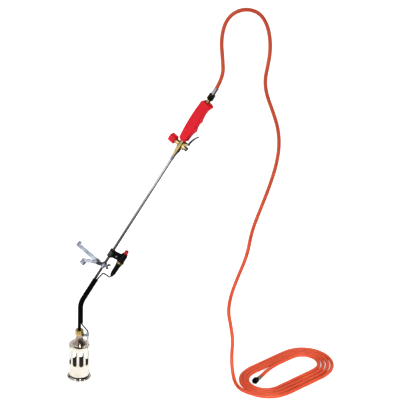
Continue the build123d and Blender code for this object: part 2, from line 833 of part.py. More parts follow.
def trigger_lever():
    """Hub on the pin, a nose that pushes the trigger pin, and a long curved finger plate."""
    x0, z0 = lever_pivot_offset, lever_pivot_rise
    half_root = lever_root_width / 2
    hub = Pos(x0, 0, z0) * ALONG_Y * rod(lever_hub_radius, -half_root, half_root)
    nose_low = pin_top() + gap
    nose = box(trigger_offset - 2, x0, -half_root, half_root, nose_low, nose_low + 2.8)
    middle = (x0 + (lever_tip_offset - x0) * 0.36, z0 + (lever_tip_rise - z0) * 0.55)
    curve = ThreePointArc((x0 + 0.8, z0 + 1.5), middle, (lever_tip_offset, lever_tip_rise))
    section = Plane(origin=Plane.XZ.from_local_coords(curve @ 0), x_dir=(0, 1, 0),
                    z_dir=Plane.XZ.from_local_coords(Vector(*(curve % 0))) ) * Rectangle(
                        lever_width, lever_thickness)
    plate = sweep(section, path=Plane.XZ * curve)
    narrow_to = z0 + lever_hub_radius + 2
    for side in (1, -1):
        low, high = sorted((side * half_root, side * lever_width))
        plate -= box(0, 60, low, high, 0, narrow_to)
    lever = hub + nose + plate
    return lever - Pos(x0, 0, z0) * ALONG_Y * rod(lever_pin_radius + running_clearance, -20, 20)


def lever_pin():
    reach = lever_root_width / 2 + gap + cheek_thickness + 0.8
    return Pos(lever_pivot_offset, 0, lever_pivot_rise) * ALONG_Y * rod(lever_pin_radius, -reach, reach)


def wand_nut():
    """Brass nut that clamps the wand's end against the valve's spigot, tapering down to the tube."""
    top = -body_length / 2 - 0.3
    low = top - nut_length
    foot = low - nut_taper_length
    nut = hexagon(nut_flats, low, top) + turned((0, foot), (collet_radius, foot),
                                                (nut_flats / 2 - 0.4, low), (0, low))
    end = tube_end_station - valve_station
    nut -= rod(spigot_radius + seat_clearance, end, top)
    return nut - rod(tube_radius + seat_clearance, foot, top)


def wand_collet():
    """Steel sleeve on the wand below the nut."""
    top = -body_length / 2 - 0.3 - nut_length - nut_taper_length
    r = collet_radius - 0.2
    low = top - collet_length
    inner = tube_radius + seat_clearance
    return turned((inner, low), (r - 0.7, low), (r, low + 1.5), (r, top - seat_clearance),
                  (inner, top - seat_clearance))


# ---------------------------------------------------------------- grip
def grip_side(inset):
    """Side outline of the grip: straight back, two short grooves and a long one."""
    low = grip_start + inset
    high = grip_start + grip_length - inset
    stretch = grip_length / 135.7
    def at(rise):
        return grip_start + rise * stretch
    front = grip_half_depth - inset
    back = inset - grip_half_depth
    crest_1 = (front - 3.2, at(43.7))
    crest_2 = (front - 4.8, at(75.7))
    outline = [
        Polyline((front - 11, at(2.7 + inset)), (front - 15.5, low), (back + 13, low),
                 (back + 8.5, at(4.7 + inset))),
        ThreePointArc((back + 8.5, at(4.7 + inset)), (back + 3, at(62)), (back + 6.2, at(130.7 - inset))),
        Polyline((back + 6.2, at(130.7 - inset)), (back + 9.5, high), (front - 4, high),
                 (front + 0.3, at(131.9 - inset))),
        ThreePointArc((front + 0.3, at(131.9 - inset)), (front - 9.9, at(100)), crest_2),
        ThreePointArc(crest_2, (front - 8.5, at(58)), crest_1),
        ThreePointArc(crest_1, (front - 9.9, at(25)), (front - 11, at(2.7 + inset))),
    ]
    return make_face(outline)


def grip_solid(inset):
    width = grip_half_width - inset
    depth = grip_half_depth - inset + 1.0
    slab = extrude(Plane.XZ * grip_side(inset), grip_half_width, both=True)
    oval = Pos(0, 0, grip_start) * extrude(Ellipse(depth, width), grip_length)
    return slab & oval


def grip_blank():
    inset = grip_wall
    shell = grip_solid(0) - grip_solid(inset)
    solid = grip_solid(0.2)
    for rise in (0.18, 0.5, 0.82):
        z = grip_start + grip_length * rise
        shell += solid & box(-40, 40, -40, 40, z - 1, z + 1)
    for rise in grip_screw_rises:
        shell += solid & (Pos(grip_screw_offset, 0, grip_start + rise - 17.3) * ALONG_Y
                          * rod(grip_screw_radius + 2, -40, 40))
    shell -= rod(handle_tube_radius + seat_clearance, 0, grip_start + grip_length + 10)
    shell -= rod(nipple_flange_radius + seat_clearance, nipple_start() - 0.3, grip_start + grip_length + 10)
    return shell


def grip_screw_place(rise):
    return Pos(grip_screw_offset, 0, grip_start + rise - 17.3) * ALONG_Y


def grip_half(side):
    """side -1 faces the front, +1 the back, where the screws go in."""
    low, high = sorted((side * seat_clearance, side * 40))
    half = grip_blank() & box(-60, 60, low, high, 0, 400)
    for rise in grip_screw_rises:
        if side > 0:
            half -= grip_screw_place(rise) * rod(grip_screw_radius + seat_clearance, 0, 40)
            half -= grip_screw_place(rise) * rod(2.7, grip_screw_seat(), 40)
        else:
            half -= grip_screw_place(rise) * rod(grip_screw_radius, -6.5, 0)
    return half


def grip_screw_seat():
    return grip_half_width - 6.5


def grip_screws():
    seat = grip_screw_seat()
    screw = rod(grip_screw_radius, -6, seat) + rod(2.5, seat, seat + 1.8)
    screw -= box(-2, 2, -0.3, 0.3, seat + 1, seat + 2)
    return Compound(children=[grip_screw_place(rise) * screw for rise in grip_screw_rises])


def nipple_start():
    return grip_end - nipple_depth


def nipple_flange_end():
    return grip_end + nipple_flange_proud


def handle_tube():
    low = body_length / 2 - 0.5
    return ring(handle_tube_radius, handle_tube_radius - handle_tube_wall, low, nipple_start() + 10)


def inlet_nipple():
    """Brass end of the handle's tube: flange, neck and the male thread for the hose nut."""
    start = nipple_start()
    thread = hose_nut_station - valve_station - 1.5
    end = hose_nut_station - valve_station + thread_engagement
    r = hose_thread_radius - seat_clearance
    nipple = turned((0, start), (nipple_flange_radius, start), (nipple_flange_radius, nipple_flange_end()),
                    (5.8, nipple_flange_end() + 1), (5.8, thread), (r, thread + 0.7), (r, end - 0.8),
                    (r - 0.8, end), (0, end))
    nipple -= rod(handle_tube_radius + seat_clearance, start, start + 10)
    nipple -= rod(tail_bore_radius + 0.8, start, end)
    return nipple - turned((0, end), (nipple_cone_radius, end), (0, end - nipple_cone_radius))


# ---------------------------------------------------------------- hose fittings, drawn from the nut's mouth
def swivel_nut(length):
    """Hexagon nut with a thread at the mouth and a lip that bears on the tail's bulb."""
    nut = hexagon(hose_nut_flats, 0, length)
    nut -= rod(hose_thread_radius, 0, length - lip_thickness)
    return nut - rod(tail_neck_radius + gap, 0, length)


def tailpiece(nose, bulb_end, barb_start):
    """Turned tail: a coned nose, a bulb that the nut's lip pulls on, a neck and a barb inside the hose."""
    end = barb_start + barb_length
    cone = nipple_cone_radius - nose_radius
    outline = [(0, nose), (nose_radius, nose), (nipple_cone_radius, nose + cone),
               (tail_bulb_radius, nose + cone + 0.7),
               (tail_bulb_radius, bulb_end), (tail_neck_radius, bulb_end), (tail_neck_radius, barb_start)]
    z = barb_start
    while z + 4 <= end:
        outline += [(barb_radius, z), (barb_radius - 0.6, z + 3.6)]
        z += 4
    outline += [(barb_radius - 0.6, end), (0, end)]
    return turned(*outline) - rod(tail_bore_radius, nose, end)


def hose_nut_place():
    return WAND * Pos(0, 0, hose_nut_station)


def fitting_barb_start():
    return hose_nut_length + nut_neck_length


def hose_nut():
    return swivel_nut(hose_nut_length)


def hose_tailpiece():
    nose = thread_engagement - nipple_cone_radius + nose_radius + 1.5 * seat_clearance
    return tailpiece(nose, hose_nut_length - lip_thickness - gap, fitting_barb_start())


def crimp_ferrule(start):
    """Pressed sleeve over the hose's end, with three crimp grooves."""
    r = ferrule_radius
    inner = hose_radius + seat_clearance
    outline = [(tail_neck_radius + seat_clearance, start - 1), (r - 0.6, start - 1), (r, start - 0.4)]
    for i in range(3):
        z = start + 4 + 4.5 * i
        outline += [(r, z), (r - 0.4, z + 0.5), (r - 0.4, z + 2), (r, z + 2.5)]
    outline += [(r, start + ferrule_length), (inner, start + ferrule_length), (inner, start),
                (tail_neck_radius + seat_clearance, start)]
    return turned(*outline)


# ---------------------------------------------------------------- hose, in the part's own frame
# The hose rises from the ferrule, stands in a narrow arch, falls to the floor and lies in a coil.
route_up_and_down = [
    (69, 0, 200), (63, 0, 252), (71, 0, 306), (95, 0, 339), (131, 0, 351), (166, 0, 340), (188, 0, 308),
    (199, 0, 264), (201, 0, 220), (196, 0, 179), (190, 0, 137), (196, 0, 94), (217, 0, 40), (235, 0, -14),
    (241, 2, -73), (234, 4, -138), (217, 6, -209), (195, 10, -284), (174, 14, -358), (165, 18, -438),
    (142, 24, -512), (123, 30, -580), (116, 34, -641), (127, 38, -696), (135, 41, -748), (133, 41, -800),
    (136, 24, -838),
]
route_landing = [(145, -10)]
route_tail = [(258, 83), (238, 54)]
first_reach = 38.0              # straight lengths: beyond the first ferrule, into the coil, out of it
reach_in = 35.0                 # and before the free end's ferrule
reach_out = 20.0
end_reach = 10.0
end_fitting_place = (221.0, 19.0)
end_fitting_turn = -115.0       # the way the free end points, on the floor
end_fitting_rise = 12.0


def hose_exit():
    station = hose_nut_station + fitting_barb_start() + ferrule_length
    return on_wand(0, station) - Vector(grip_x, 0, grip_z)


def on_floor(x, y):
    return Vector(x, y, floor_z + hose_radius)


def hose_tube(name, points):
    """Straight runs joined by arcs, each as large as its two runs allow."""
    vectors = [Vector(*p) for p in points]
    radii = []
    for before, here, after in zip(vectors, vectors[1:], vectors[2:]):
        turn = math.radians((here - before).get_angle(after - here))
        shorter = min((here - before).length, (after - here).length)
        radii.append(0.45 * shorter / math.tan(turn / 2))
    path = FilletPolyline(*vectors, radius=radii)
    start = Plane(origin=path @ 0, z_dir=path % 0)
    tube = sweep(start * Circle(hose_radius), path=path)
    section = math.pi * hose_radius ** 2
    print(f"{name}: length {path.length:.0f}, smallest radius {min(radii):.0f},"
          f" volume against section times length {tube.volume / (section * path.length):.4f}")
    return tube


def racetrack(radius, straight, fraction):
    """A point of a loop of two half circles and two straights, a fraction of the way round it."""
    quarter = coil_end_share / 4
    side = 0.5 - 2 * quarter
    place = (fraction + quarter) % 1 - quarter
    if place > 0.5 - quarter:
        along, across = racetrack(radius, straight, place - 0.5)
        return -along, -across
    if place > quarter:
        return straight * (1 - 2 * (place - quarter) / side), radius
    turn = place / quarter * math.pi / 2
    return straight + radius * math.cos(turn), radius * math.sin(turn)


def coil_point(angle):
    """Centre of the hose at an angle counted on from the coil's start; each turn lies inside the last."""
    turns_in = (angle - coil_start_angle) / 360
    radius = coil_end_radius - coil_pitch * turns_in
    along, across = racetrack(radius, coil_half_straight + coil_stretch * turns_in, angle / 360)
    along += coil_drift[0] * turns_in
    across += coil_drift[1] * turns_in
    turn = math.radians(coil_turned)
    x = coil_centre[0] + along * math.cos(turn) - across * math.sin(turn)
    y = coil_centre[1] + along * math.sin(turn) + across * math.cos(turn)
    return on_floor(x, y)


def coil_direction(angle):
    return (coil_point(angle + 0.5) - coil_point(angle - 0.5)).normalized()


def coil_side(angle, distance):
    """A point beside the hose's centre line, away from the coil's middle where the distance is positive."""
    way = coil_direction(angle)
    return coil_point(angle) + Vector(way.Y, -way.X) * distance


def coil_end_angle():
    return coil_start_angle + 360 * coil_turns


def hose_coil():
    """The coil's outer shape, with a step at each end where the hose comes in and goes out."""
    steps = range(0, 361, coil_outline_step)
    edge = hose_radius + seat_clearance
    outside = [coil_side(coil_start_angle + a, hose_radius) for a in steps]
    step_out = coil_side(coil_start_angle, -edge)
    rim = Spline(*outside) + Line(outside[-1], step_out) + Line(step_out, outside[0])
    first = coil_end_angle() - 360
    inside = [coil_side(first + a, -hose_radius) for a in steps]
    step_in = coil_side(coil_end_angle(), edge)
    hole = Spline(*inside) + Line(inside[-1], step_in) + Line(step_in, inside[0])
    band = make_face(rim.edges()) - make_face(hole.edges())
    return Pos(0, 0, -hose_radius) * extrude(band, 2 * hose_radius, dir=(0, 0, 1))


def hose_run():
    """From inside the first ferrule over the arch, down to the floor and up to the coil's start."""
    leave = hose_exit()
    start = coil_point(coil_start_angle)
    points = [leave - up_wand * (ferrule_length - seat_clearance), leave + up_wand * first_reach]
    points += route_up_and_down
    points += [on_floor(x, y) for x, y in route_landing]
    points += [start - coil_direction(coil_start_angle) * reach_in, start]
    tube = hose_tube("hose_run", points)
    barb = rod(barb_radius + seat_clearance, fitting_barb_start(), fitting_barb_start() + barb_length + gap)
    return tube - Pos(-grip_x, 0, -grip_z) * hose_nut_place() * barb


def end_plane():
    """Where the free end's ferrule starts, with Z pointing out of the nut's mouth."""
    turn, rise = math.radians(end_fitting_turn), math.radians(end_fitting_rise)
    out = Vector(math.cos(turn) * math.cos(rise), math.sin(turn) * math.cos(rise), math.sin(rise))
    start = on_floor(*end_fitting_place) + Vector(0, 0, end_reach * math.sin(rise))
    return Plane(origin=start, x_dir=out.cross(Vector(0, 0, 1)), z_dir=out)


def end_barb_start():
    return end_nut_length + end_neck_length


def end_nut():
    """Nut with a short thread at its mouth and a relief behind it."""
    relief = rod(hose_thread_radius + relief_depth, end_thread_length, end_nut_length - lip_thickness)
    return swivel_nut(end_nut_length) - relief


def end_mouth():
    """The frame of the free end's fitting, drawn from its mouth back to the hose."""
    plane = end_plane()
    mouth = plane.origin + plane.z_dir * (ferrule_length + end_barb_start())
    return Plane(origin=mouth, x_dir=plane.x_dir, z_dir=-plane.z_dir).location


def hose_tail():
    """From the coil's inner end to inside the free end's ferrule."""
    plane = end_plane()
    end = coil_end_angle()
    points = [coil_point(end), coil_point(end) + coil_direction(end) * reach_out]
    points += [on_floor(x, y) for x, y in route_tail]
    points += [plane.origin - plane.z_dir * end_reach,
               plane.origin + plane.z_dir * (ferrule_length - seat_clearance)]
    tube = hose_tube("hose_tail", points)
    barb = rod(barb_radius + seat_clearance, end_barb_start(), end_barb_start() + barb_length + gap)
    return tube - end_mouth() * barb


def end_tailpiece():
    return tailpiece(end_thread_length + gap, end_nut_length - lip_thickness - gap, end_barb_start())


# ---------------------------------------------------------------- build and write
save("burner_bell", burner_bell())
save("bell_cap", bell_cap())
save("cap_rivets", cap_rivets())
save("jet_holder", jet_holder())
save("gas_jet", gas_jet())
save("electrode_bracket", electrode_bracket())
save("electrode_insulator", electrode_insulator())
save("spark_electrode", spark_electrode())
save("electrode_boot", electrode_boot())
save("wand_tube", wand_tube())
save("heat_sleeve", heat_sleeve())
save("ignition_wire", ignition_wire())

beside = Pos(piezo_offset, 0)
save("igniter_clamp_front", igniter_clamp_half(-1), WAND)
save("igniter_clamp_back", igniter_clamp_half(1), WAND)
save("clamp_band", clamp_band(), WAND)
save("clamp_screw", clamp_screw(), WAND)
save("piezo_body", beside * piezo_body(), WAND)
save("piezo_crystal", beside * piezo_crystal(), WAND)
save("piezo_spring", beside * piezo_spring(), WAND)
save("piezo_button", beside * piezo_button(), WAND)
save("piezo_nut", beside * piezo_nut(), WAND)
save("piezo_terminal", beside * piezo_terminal(), WAND)
save("igniter_boot", beside * igniter_boot(), WAND)

save("stand_clamp", stand_clamp(), STAND)
save("stand_pin", stand_pin(), STAND)
save("stand_legs", stand_legs(), STAND)
save("wing_screw", wing_screw(), STAND)

save("valve_body", valve_body(), VALVE)
save("bonnet", bonnet(), VALVE)
save("stem_seal", stem_seal(), VALVE)
save("valve_spindle", valve_spindle(), VALVE)
save("valve_needle", valve_needle(), VALVE)
save("control_knob", control_knob(), VALVE)
save("knob_screw", knob_screw(), VALVE)
save("pilot_screw", pilot_screw(), VALVE)
save("trigger_pin", trigger_pin(), VALVE)
save("trigger_spring", trigger_spring(), VALVE)
save("trigger_lever", trigger_lever(), VALVE)
save("lever_pin", lever_pin(), VALVE)
save("wand_nut", wand_nut(), VALVE)
save("wand_collet", wand_collet(), VALVE)

save("grip_front", grip_half(-1), VALVE)
save("grip_back", grip_half(1), VALVE)
save("grip_screws", grip_screws(), VALVE)
save("handle_tube", handle_tube(), VALVE)
save("inlet_nipple", inlet_nipple(), VALVE)

save("hose_nut", hose_nut(), hose_nut_place())
save("hose_tailpiece", hose_tailpiece(), hose_nut_place())
save("crimp_ferrule", crimp_ferrule(fitting_barb_start()), hose_nut_place())
save("hose_run", hose_run(), HERE)
save("hose_coil", hose_coil(), HERE)
save("hose_tail", hose_tail(), HERE)
save("end_nut", end_nut(), HERE * end_mouth())
save("end_tailpiece", end_tailpiece(), HERE * end_mouth())
save("end_ferrule", crimp_ferrule(end_barb_start()), HERE * end_mouth())
print(len(written), "parts written")
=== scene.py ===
import bpy
import math
from mathutils import Matrix, Vector


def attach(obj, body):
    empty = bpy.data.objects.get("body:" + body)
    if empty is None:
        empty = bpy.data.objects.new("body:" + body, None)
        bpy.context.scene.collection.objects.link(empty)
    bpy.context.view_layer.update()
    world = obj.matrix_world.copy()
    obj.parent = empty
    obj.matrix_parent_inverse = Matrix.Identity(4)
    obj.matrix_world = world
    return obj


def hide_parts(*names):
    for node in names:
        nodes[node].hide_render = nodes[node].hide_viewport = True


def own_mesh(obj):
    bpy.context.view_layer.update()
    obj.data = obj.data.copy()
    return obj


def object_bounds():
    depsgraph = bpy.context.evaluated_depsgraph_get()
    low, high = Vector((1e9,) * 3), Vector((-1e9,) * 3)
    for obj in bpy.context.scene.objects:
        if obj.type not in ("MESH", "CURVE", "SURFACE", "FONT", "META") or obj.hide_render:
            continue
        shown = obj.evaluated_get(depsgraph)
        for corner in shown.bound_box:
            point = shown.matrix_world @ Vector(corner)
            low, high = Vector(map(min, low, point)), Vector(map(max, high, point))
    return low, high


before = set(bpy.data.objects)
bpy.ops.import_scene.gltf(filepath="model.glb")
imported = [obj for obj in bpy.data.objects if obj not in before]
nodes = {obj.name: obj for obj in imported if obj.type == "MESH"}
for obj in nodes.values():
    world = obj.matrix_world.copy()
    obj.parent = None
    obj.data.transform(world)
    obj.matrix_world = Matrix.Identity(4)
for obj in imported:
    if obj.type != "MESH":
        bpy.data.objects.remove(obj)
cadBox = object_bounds()
print("frame loaded:", len(nodes), "nodes")


def deselectAll():
    bpy.ops.object.select_all(action="DESELECT")


class Signal:  # a value or colour that runs between the nodes of one material
    def __init__(self, finish, socket):
        self.finish = finish
        self.socket = socket

    def __add__(self, other):
        return self.finish.maths("ADD", self, other)

    def __radd__(self, other):
        return self.finish.maths("ADD", other, self)

    def __sub__(self, other):
        return self.finish.maths("SUBTRACT", self, other)

    def __rsub__(self, other):
        return self.finish.maths("SUBTRACT", other, self)

    def __mul__(self, other):
        return self.finish.maths("MULTIPLY", self, other)

    def __rmul__(self, other):
        return self.finish.maths("MULTIPLY", other, self)

    def sine(self):
        return self.finish.maths("SINE", self, 0)

    def above(self, level):
        return self.finish.maths("GREATER_THAN", self, level)

    def below(self, level):
        return self.finish.maths("LESS_THAN", self, level)

    def part(self, name):
        return Signal(self.finish, self.socket.node.outputs[name])


socketNames = {"metallic": "Metallic", "roughness": "Roughness", "specular": "Specular IOR Level",
               "coat": "Coat Weight", "coatRoughness": "Coat Roughness"}


class Finish:  # one material: a Principled shader and what feeds it
    def __init__(self, name, **values):
        self.material = bpy.data.materials.new(name)
        self.material.use_nodes = True
        self.tree = self.material.node_tree
        self.shader = self.tree.nodes["Principled BSDF"]
        for key, value in values.items():
            self.shader.inputs[socketNames[key]].default_value = value

    def add(self, kind, settings, inputs):
        node = self.tree.nodes.new(kind)
        for key, value in settings.items():
            if key == "stops":
                ramp = node.color_ramp
                while len(ramp.elements) < len(value):
                    ramp.elements.new(0.5)
                for element, (place, colour) in zip(ramp.elements, value):
                    element.position = place
                    element.color = colour
            else:
                setattr(node, key, value)
        for key, value in inputs.items():
            self.feed(node.inputs[key], value)
        return Signal(self, node.outputs[0])

    def maths(self, operation, first, second):
        return self.add("ShaderNodeMath", {"operation": operation}, {0: first, 1: second})

    def feed(self, socket, value):
        if isinstance(value, Signal):
            self.tree.links.new(value.socket, socket)
        else:
            socket.default_value = value

    def give(self, name, value):
        self.feed(self.shader.inputs[name], value)

    def place(self, at=(0, 0, 0), turn=(0, 0, 0)):
        # object coordinates seen from a piece's own centre and axis
        spot = self.add("ShaderNodeTexCoord", {}, {}).part("Object")
        return self.add("ShaderNodeMapping", {"vector_type": "TEXTURE"},
                        {"Vector": spot, "Location": at, "Rotation": turn})

    def scaled(self, vector, size):
        return self.add("ShaderNodeVectorMath", {"operation": "MULTIPLY"}, {0: vector, 1: size})

    def split(self, vector):
        return self.add("ShaderNodeSeparateXYZ", {}, {0: vector})

    def noise(self, place, scale, detail=3, roughness=0.5):
        return self.add("ShaderNodeTexNoise", {},
                        {"Vector": place, "Scale": scale, "Detail": detail, "Roughness": roughness})

    def ramp(self, value, *stops):
        return self.add("ShaderNodeValToRGB",
                        {"stops": [(at, (*colour, 1)) for at, colour in stops]}, {"Fac": value})

    def fade(self, value, none, full):
        # 0 at none, 1 at full, smooth between
        return self.add("ShaderNodeMapRange", {"interpolation_type": "SMOOTHSTEP"},
                        {"Value": value, "From Min": none, "From Max": full})

    def level(self, value, low, high):
        # brings 0..1 to low..high
        return low + value * (high - low)

    def mix(self, share, first, second):
        # first where share is 0, second where it is 1; a Mix node keeps its colour sockets at 6, 7 and 2
        first, second = [value if isinstance(value, Signal) else (*value, 1) for value in (first, second)]
        mixed = self.add("ShaderNodeMix", {"data_type": "RGBA"}, {"Factor": share, 6: first, 7: second})
        return Signal(self, mixed.socket.node.outputs[2])

    def bump(self, height, distance, strength):
        self.give("Normal", self.add("ShaderNodeBump", {},
                                     {"Height": height, "Distance": distance, "Strength": strength}))


lean = math.radians(28)          # wand from upright
gripAbove = 0.867817             # grip's middle above the ground
bellAside = -0.324405            # burner's axis
neckHeight = 0.2577              # bend of the wand above the ground
along = Vector((math.sin(lean), 0, math.cos(lean)))      # up the wand
footOfWand = Vector((bellAside, 0, neckHeight - gripAbove))


def onWand(station):
    # a point by its place along the wand
    return footOfWand + along * station


studio = {"floorSize": 30.0, "floorColour": (0.94, 0.94, 0.94, 1), "floorRough": 0.85,
          "floorGlow": 0.72, "floorBounce": 0.08, "floorGloss": 0.34,      # as seen, as light, in reflections
          "skyColour": (1.0, 1.0, 1.0, 1), "skySeen": 1.0, "skyStrength": 0.42, "skyInGloss": 0.03,
          "lens": 200, "filmWidth": 36, "farthest": 60,
          "cameraAt": (0.0206, -5.6602, 2.7582), "elevation": 28.0, "roll": 2.1,
          "lightsOn": (-0.05, 0, -0.4), "shadeLift": 0.001, "shadeColour": (0.012, 0.012, 0.014, 1),
          "spotAt": (0.9, -2.6, 0.5), "spotOn": (0.32, 0.05, -0.86), "spotPower": 640, "spotCone": 17,
          "spotBlend": 1.0, "spotSize": 0.5}

# name, place, power, size
studioLights = [("keyLight", (-4.4, -5.2, 4.6), 200, 2.6),
                ("fillLight", (4.6, -2.4, 3.2), 36, 1.8),
                ("rimLight", (1.2, 5.0, 3.6), 42, 2.2)]

# dark sheets on the ground, seen only in reflections, give polished metal its edges: name, middle, size
studioShades = [("frontShade", (0.57, -1.96), (2.06, 3.28)),
                ("sideShade", (0.60, 0.29), (1.20, 1.22))]

# bright sheets that only reflections see: name, middle, size, glow
studioSheets = [("leftSheet", (-2.6, -1.2, 0.5), (3.8, 2.4), 0.8),
                ("topSheet", (-0.3, 0.5, 3.2), (1.2, 0.8), 1.8),
                ("backSheet", (-0.9, 4.6, 2.0), (1.6, 0.7), 0.9)]


def unseen(sheet):
    # only reflections see it
    sheet.visible_camera = sheet.visible_diffuse = False
    sheet.visible_shadow = sheet.visible_transmission = False


def turnTo(thing, place):
    thing.rotation_mode = "QUATERNION"
    thing.rotation_quaternion = (Vector(place) - thing.location).to_track_quat("-Z", "Y")


def makeFloor():
    deselectAll()
    bpy.ops.mesh.primitive_plane_add(size=studio["floorSize"], location=(0, 0, cadBox[0].z))
    floor = bpy.context.object
    floor.name = "studioFloor"
    paint = Finish("floorPaint", roughness=studio["floorRough"], specular=0.0)
    ray = paint.add("ShaderNodeLightPath", {}, {})
    paint.give("Base Color", studio["floorColour"])
    paint.give("Emission Color", studio["floorColour"])
    glow = paint.level(ray.part("Is Camera Ray"), studio["floorBounce"], studio["floorGlow"])
    paint.give("Emission Strength", glow + ray.part("Is Glossy Ray") * studio["floorGloss"])
    floor.data.materials.append(paint.material)


def makeShades():
    dark = Finish("shadePaint", roughness=1.0, specular=0.0)
    dark.give("Base Color", studio["shadeColour"])
    for name, at, size in studioShades:
        bpy.ops.mesh.primitive_plane_add(size=1, location=(*at, cadBox[0].z + studio["shadeLift"]))
        shade = bpy.context.object
        shade.name = name
        shade.scale = (*size, 1)
        shade.data.materials.append(dark.material)
        unseen(shade)


def makeSheets():
    for name, at, size, glow in studioSheets:
        bpy.ops.mesh.primitive_plane_add(size=1, location=at)
        sheet = bpy.context.object
        sheet.name = name
        sheet.scale = (*size, 1)
        turnTo(sheet, studio["lightsOn"])
        white = Finish(name + "Paint", roughness=1.0, specular=0.0)
        white.give("Base Color", (0, 0, 0, 1))
        white.give("Emission Color", (1, 1, 1, 1))
        white.give("Emission Strength", glow)
        sheet.data.materials.append(white.material)
        unseen(sheet)


def makeLight():
    world = bpy.data.worlds.new("studioSky")
    bpy.context.scene.world = world
    world.use_nodes = True
    tree = world.node_tree
    sky = tree.nodes["Background"]
    sky.inputs["Color"].default_value = studio["skyColour"]
    # the room is white to look at, and darker to reflections than to the soft light it gives
    ray = tree.nodes.new("ShaderNodeLightPath")
    inGloss = tree.nodes.new("ShaderNodeMapRange")
    seen = tree.nodes.new("ShaderNodeMapRange")
    tree.links.new(ray.outputs["Is Glossy Ray"], inGloss.inputs["Value"])
    inGloss.inputs["To Min"].default_value = studio["skyStrength"]
    inGloss.inputs["To Max"].default_value = studio["skyInGloss"]
    tree.links.new(ray.outputs["Is Camera Ray"], seen.inputs["Value"])
    tree.links.new(inGloss.outputs["Result"], seen.inputs["To Min"])
    seen.inputs["To Max"].default_value = studio["skySeen"]
    tree.links.new(seen.outputs["Result"], sky.inputs["Strength"])
    for name, at, power, size in studioLights:
        bpy.ops.object.light_add(type="AREA", location=at)
        light = bpy.context.object
        light.name = name
        light.data.energy = power
        light.data.size = size
        turnTo(light, studio["lightsOn"])
    # a soft spot brightens the coil on the ground
    bpy.ops.object.light_add(type="SPOT", location=studio["spotAt"])
    spot = bpy.context.object
    spot.name = "coilSpot"
    spot.data.energy = studio["spotPower"]
    spot.data.spot_size = math.radians(studio["spotCone"])
    spot.data.spot_blend = studio["spotBlend"]
    spot.data.shadow_soft_size = studio["spotSize"]
    turnTo(spot, studio["spotOn"])


def makeCamera():
    lens = bpy.data.cameras.new("photographer")
    camera = bpy.data.objects.new("photographer", lens)
    bpy.context.scene.collection.objects.link(camera)
    lens.lens = studio["lens"]
    lens.sensor_width = studio["filmWidth"]
    lens.clip_end = studio["farthest"]
    camera.matrix_world = (Matrix.Translation(studio["cameraAt"])
                           @ Matrix.Rotation(math.radians(90 - studio["elevation"]), 4, "X")
                           @ Matrix.Rotation(math.radians(studio["roll"]), 4, "Z"))
    bpy.context.scene.camera = camera
    bpy.context.scene.view_settings.view_transform = "Standard"


makeFloor()
makeShades()
makeSheets()
makeLight()
makeCamera()
print("studio ready")

# the coil is a flat oval of two straights and two round ends, which take endShare of a turn's angle;
# drift, stretch and pitch are what each turn adds or takes off, and leavesAt is counted up the wand
hose = {"diameter": 0.011, "length": 4.50, "onFloor": 0.0055,
        "leavesAt": 0.811, "inFerrule": 0.0189, "straightOut": 0.038,
        "coilCentre": (0.301, 0.058), "coilDrift": (-0.0009, 0.0015), "coilTurned": 42.0,
        "halfStraight": 0.077, "endRadius": 0.092, "endShare": 0.6, "stretch": 0.0006,
        "pitch": 0.0126, "turns": 3.69, "startAngle": 187.0, "pointsPerTurn": 24,
        "reachIn": 0.035, "reachOut": 0.020, "endReach": 0.010,
        "lineSteps": 8, "roundness": 6}

# from the grip up, over and down to the floor
hoseUpAndDown = [
    (0.069, 0, 0.200), (0.063, 0, 0.252), (0.071, 0, 0.306), (0.095, 0, 0.339), (0.131, 0, 0.351),
    (0.166, 0, 0.340), (0.188, 0, 0.308), (0.199, 0, 0.264), (0.201, 0, 0.220), (0.196, 0, 0.179),
    (0.190, 0, 0.137), (0.196, 0, 0.094), (0.217, 0, 0.040), (0.235, 0, -0.014), (0.241, 0.002, -0.073),
    (0.234, 0.004, -0.138), (0.217, 0.006, -0.209), (0.195, 0.010, -0.284), (0.174, 0.014, -0.358),
    (0.165, 0.018, -0.438), (0.142, 0.024, -0.512), (0.123, 0.030, -0.580), (0.116, 0.034, -0.641),
    (0.127, 0.038, -0.696), (0.135, 0.041, -0.748), (0.133, 0.041, -0.800), (0.136, 0.024, -0.838),
]
hoseLanding = (0.145, -0.010)
hoseTailRoute = [(0.258, 0.083), (0.238, 0.054)]
hoseEnd = {"at": (0.221, 0.019), "turn": -115.0, "rise": 12.0}


def onGround(x, y):
    return Vector((x, y, hose["onFloor"] - gripAbove))


def coilPoint(angle):
    # hose's middle at an angle counted on from the coil's start; each turn lies inside the last
    turnsIn = (angle - hose["startAngle"]) / 360
    radius = hose["endRadius"] - hose["pitch"] * turnsIn
    straight = hose["halfStraight"] + hose["stretch"] * turnsIn
    quarter = hose["endShare"] / 4
    place = (angle / 360 + quarter) % 1
    half = -1 if place >= 0.5 else 1
    place = place % 0.5 - quarter
    if place > quarter:
        u, v = straight * (1 - 2 * (place - quarter) / (0.5 - 2 * quarter)), radius
    else:
        turn = place / quarter * math.pi / 2
        u, v = straight + radius * math.cos(turn), radius * math.sin(turn)
    u, v = half * u + hose["coilDrift"][0] * turnsIn, half * v + hose["coilDrift"][1] * turnsIn
    turn = math.radians(hose["coilTurned"])
    x = hose["coilCentre"][0] + u * math.cos(turn) - v * math.sin(turn)
    y = hose["coilCentre"][1] + u * math.sin(turn) + v * math.cos(turn)
    return onGround(x, y)


def coilWay(angle):
    # the hose's direction there
    return (coilPoint(angle + 0.5) - coilPoint(angle - 0.5)).normalized()


